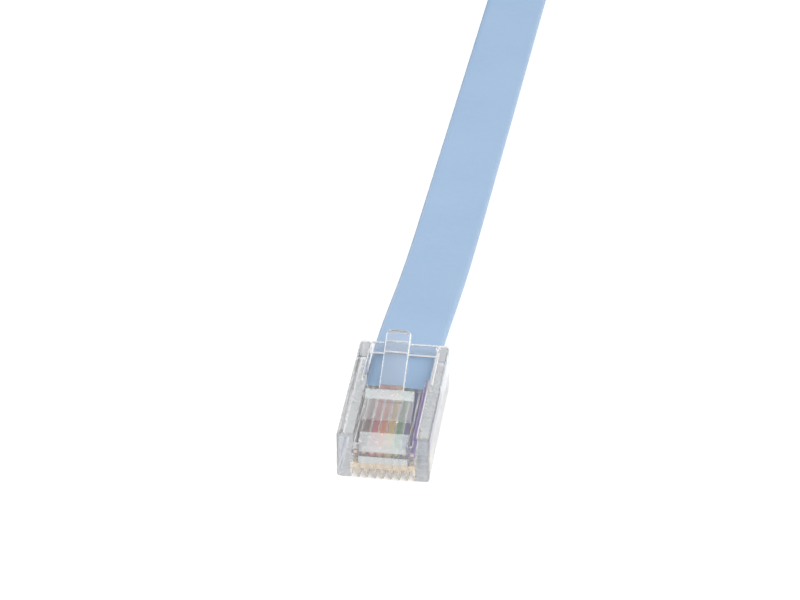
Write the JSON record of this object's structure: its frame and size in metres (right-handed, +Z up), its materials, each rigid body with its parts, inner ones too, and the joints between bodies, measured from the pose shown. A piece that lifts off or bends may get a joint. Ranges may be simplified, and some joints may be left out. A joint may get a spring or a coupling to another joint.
{
  "type": "flat console cable with modular plugs",
  "caption": "Flat light-blue console cable with a clear latching modular plug at each end, its spare length folded into a tied hank.",
  "frame": {"origin": "middle of the near plug's underside, on the floor it lies on", "axes": "+Y from the near plug's nose to the cable, +Z up on the latch side, +X to the right seen from behind the nose"},
  "size_m": [0.0668, 0.2749, 0.0118],
  "materials": {
    "clear_plastic": "clear polished polycarbonate",
    "contact_gold": "gold-plated, satin",
    "jacket": "light blue PVC, satin",
    "tie": "black hook and loop strap",
    "wire_black": "conductor insulation",
    "wire_brown": "conductor insulation",
    "wire_red": "conductor insulation",
    "wire_orange": "conductor insulation",
    "wire_yellow": "conductor insulation",
    "wire_green": "conductor insulation",
    "wire_blue": "conductor insulation",
    "wire_violet": "conductor insulation"
  },
  "bodies": {
    "root": {"plug_a_housing": "clear_plastic", "plug_a_contact_1": "contact_gold", "plug_a_contact_2": "contact_gold", "plug_a_contact_3": "contact_gold", "plug_a_contact_4": "contact_gold", "plug_a_contact_5": "contact_gold", "plug_a_contact_6": "contact_gold", "plug_a_contact_7": "contact_gold", "plug_a_contact_8": "contact_gold", "plug_a_conductor_black": "wire_black", "plug_a_conductor_brown": "wire_brown", "plug_a_conductor_red": "wire_red", "plug_a_conductor_orange": "wire_orange", "plug_a_conductor_yellow": "wire_yellow", "plug_a_conductor_green": "wire_green", "plug_a_conductor_blue": "wire_blue", "plug_a_conductor_violet": "wire_violet", "cable_lead": "jacket", "cable_hank": "jacket", "cable_tail": "jacket", "tie_right": "tie", "tie_left": "tie", "plug_b_housing": "clear_plastic", "plug_b_contact_1": "contact_gold", "plug_b_contact_2": "contact_gold", "plug_b_contact_3": "contact_gold", "plug_b_contact_4": "contact_gold", "plug_b_contact_5": "contact_gold", "plug_b_contact_6": "contact_gold", "plug_b_contact_7": "contact_gold", "plug_b_contact_8": "contact_gold", "plug_b_conductor_black": "wire_black", "plug_b_conductor_brown": "wire_brown", "plug_b_conductor_red": "wire_red", "plug_b_conductor_orange": "wire_orange", "plug_b_conductor_yellow": "wire_yellow", "plug_b_conductor_green": "wire_green", "plug_b_conductor_blue": "wire_blue", "plug_b_conductor_violet": "wire_violet"}
  },
  "joints": []
}
